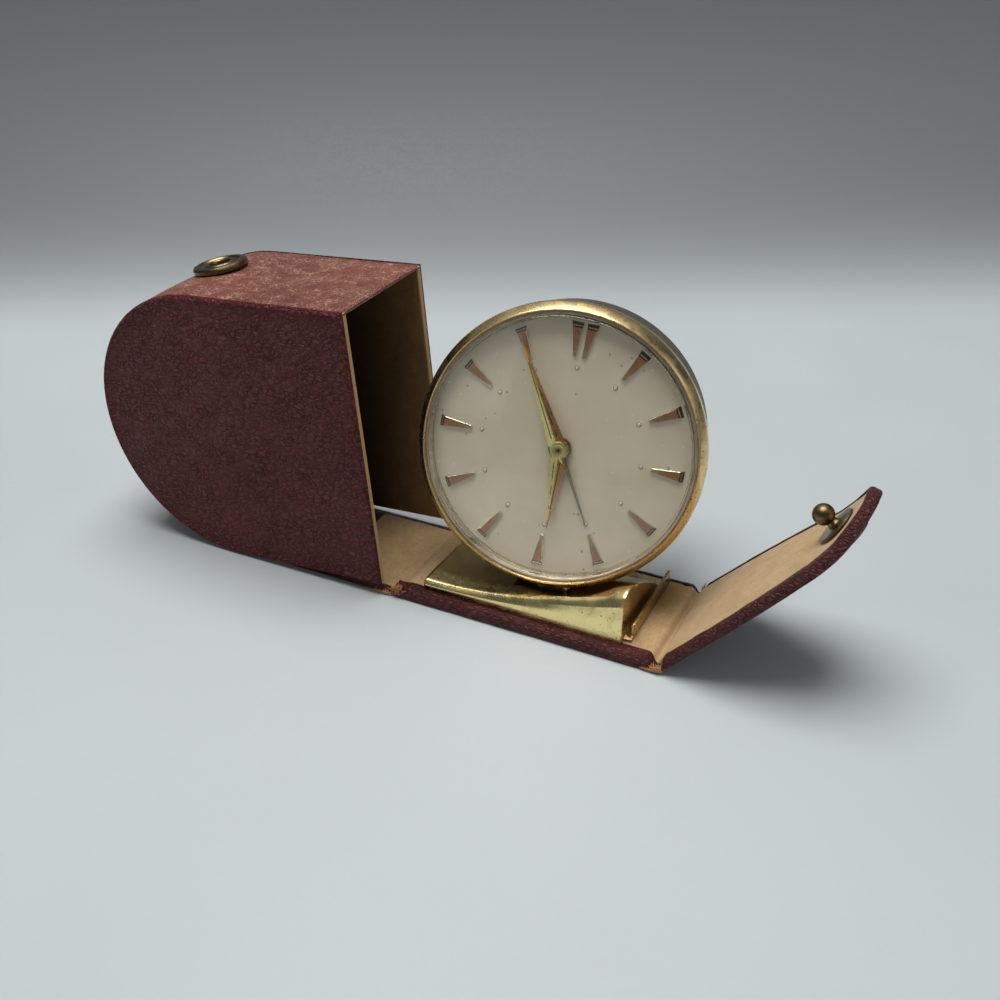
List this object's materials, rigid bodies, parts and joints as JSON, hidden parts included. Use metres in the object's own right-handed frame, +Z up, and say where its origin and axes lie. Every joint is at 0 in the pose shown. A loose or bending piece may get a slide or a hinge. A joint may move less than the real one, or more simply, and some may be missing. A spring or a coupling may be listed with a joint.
{
  "type": "travel alarm clock in folding case",
  "caption": "Round brass-bezelled wind-up alarm clock that swings and tilts on a brass foot inside an opened maroon leather case with an arched cover and a snap flap.",
  "frame": {"origin": "centre of the underside of the case's base panel", "axes": "+X from the cover towards the snap flap, +Y away from the viewer of the dial, +Z up"},
  "size_m": [0.1695, 0.0436, 0.0653],
  "materials": {
    "leather": "pebbled",
    "board": "matte",
    "lining": "napped",
    "foot_brass": "polished",
    "bezel_brass": "polished",
    "aged_brass": "aged",
    "drum_metal": "brushed",
    "back_metal": "satin",
    "inner_ring": "satin",
    "crystal": "clear",
    "dial_face": "satin",
    "markers": "polished",
    "lume": "matte",
    "hands": "polished",
    "dark_steel": "satin",
    "steel": "satin",
    "movement_brass": "satin",
    "key_brass": "polished"
  },
  "bodies": {
    "case_base": {"base_leather": "leather", "base_board": "board", "base_lining": "lining", "foot_tray": "foot_brass", "foot_cradle": "foot_brass", "swing_rivet": "steel"},
    "flap": {"flap_leather": "leather", "flap_board": "board", "flap_lining": "lining", "snap_stud": "aged_brass", "snap_stud_cap": "aged_brass"},
    "strap": {"strap_leather": "leather", "strap_lining": "lining"},
    "cover": {"cover_front_leather": "leather", "cover_front_board": "board", "cover_front_lining": "lining", "cover_back_leather": "leather", "cover_back_board": "board", "cover_back_lining": "lining", "cover_wall_leather": "leather", "cover_wall_lining": "lining", "snap_socket": "aged_brass", "snap_washer": "aged_brass"},
    "swing_arm": {"swing_arm": "steel", "tilt_pin": "steel"},
    "clock": {"drum_case": "drum_metal", "drum_lug": "drum_metal", "bezel": "bezel_brass", "crystal": "crystal", "inner_ring": "inner_ring", "dial": "dial_face", "hour_markers": "markers", "lume_dots": "lume", "back_cover": "back_metal", "movement_ring": "steel", "front_plate": "movement_brass", "back_plate": "movement_brass", "centre_wheel": "movement_brass", "third_wheel": "movement_brass", "fourth_wheel": "movement_brass", "escape_wheel": "movement_brass", "pallet_lever": "steel", "balance_wheel": "movement_brass", "hairspring": "steel", "time_barrel": "movement_brass", "alarm_barrel": "movement_brass", "alarm_hammer": "steel"},
    "minutes": {"minute_hand": "hands", "cannon_pinion": "movement_brass"},
    "hours": {"hour_hand": "hands", "hour_wheel": "movement_brass"},
    "minute_wheel": {"minute_wheel": "movement_brass"},
    "alarm_pointer": {"alarm_hand": "dark_steel", "alarm_wheel": "movement_brass"},
    "set_knob": {"set_knob": "key_brass"},
    "alarm_knob": {"alarm_knob": "key_brass"},
    "time_key": {"time_key": "key_brass"},
    "alarm_key": {"alarm_key": "key_brass"},
    "stop_button": {"stop_button": "steel"},
    "regulator_lever": {"regulator_lever": "steel"}
  },
  "joints": [
    {"name": "flap_fold", "type": "hinge", "parent": "case_base", "child": "flap", "pos_m": [0.0308, 0, 0.0005], "axis": [0, -1, 0], "range_deg": [-46.5, 28]},
    {"name": "strap_fold", "type": "hinge", "parent": "case_base", "child": "strap", "pos_m": [-0.0308, 0, 0.0005], "axis": [0, 1, 0], "range_deg": [0, 8]},
    {"name": "cover_fold", "type": "hinge", "parent": "strap", "child": "cover", "pos_m": [-0.0569, 0, 0.00095], "axis": [0, 1, 0], "range_deg": [-18, 0]},
    {"name": "foot_swing", "type": "hinge", "parent": "case_base", "child": "swing_arm", "pos_m": [0.001, 0.0055, 0.004], "axis": [0, 0, 1], "range_deg": [-13.5, 3]},
    {"name": "clock_tilt", "type": "hinge", "parent": "swing_arm", "child": "clock", "pos_m": [0.00317, -0.00354, 0.006], "axis": [0.9724, 0.2334, 0], "range_deg": [0, 16]},
    {"name": "minute_turn", "type": "hinge", "parent": "clock", "child": "minutes", "pos_m": [0.00191, 0.00172, 0.03649], "axis": [0.2244, -0.9347, 0.2756], "continuous": true},
    {"name": "hour_turn", "type": "hinge", "parent": "clock", "child": "hours", "pos_m": [0.00191, 0.00172, 0.03649], "axis": [0.2244, -0.9347, 0.2756], "continuous": true},
    {"name": "minute_wheel_turn", "type": "hinge", "parent": "clock", "child": "minute_wheel", "pos_m": [-0.00625, 0.00024, 0.03812], "axis": [0.2244, -0.9347, 0.2756], "continuous": true},
    {"name": "set_turn", "type": "hinge", "parent": "clock", "child": "set_knob", "pos_m": [-0.01203, 0.00067, 0.04427], "axis": [0.2244, -0.9347, 0.2756], "continuous": true},
    {"name": "alarm_turn", "type": "hinge", "parent": "clock", "child": "alarm_pointer", "pos_m": [0.00191, 0.00172, 0.03649], "axis": [0.2244, -0.9347, 0.2756], "continuous": true},
    {"name": "alarm_set_turn", "type": "hinge", "parent": "clock", "child": "alarm_knob", "pos_m": [0.001, -0.00205, 0.02445], "axis": [0.2244, -0.9347, 0.2756], "continuous": true},
    {"name": "time_winding", "type": "hinge", "parent": "clock", "child": "time_key", "pos_m": [-0.00953, -0.00235, 0.03201], "axis": [0.2244, -0.9347, 0.2756], "continuous": true},
    {"name": "alarm_winding", "type": "hinge", "parent": "clock", "child": "alarm_key", "pos_m": [0.01245, 0.00204, 0.02899], "axis": [0.2244, -0.9347, 0.2756], "continuous": true},
    {"name": "stop_press", "type": "slide", "parent": "clock", "child": "stop_button", "axis": [0.2244, -0.9347, 0.2756], "range_m": [0, 0.001], "stiffness_N_per_m": 120, "springref_m": -0.001},
    {"name": "regulator_turn", "type": "hinge", "parent": "clock", "child": "regulator_lever", "pos_m": [0.01765, 0.00756, 0.04346], "axis": [0.2244, -0.9347, 0.2756], "range_deg": [-15, 15]}
  ],
  "couplings": [
    {"joint": "hour_turn", "follows": "minute_turn", "ratio": 0.083333},
    {"joint": "minute_wheel_turn", "follows": "minute_turn", "ratio": -0.33333},
    {"joint": "set_turn", "follows": "minute_turn", "ratio": 1},
    {"joint": "alarm_set_turn", "follows": "alarm_turn", "ratio": -5}
  ]
}
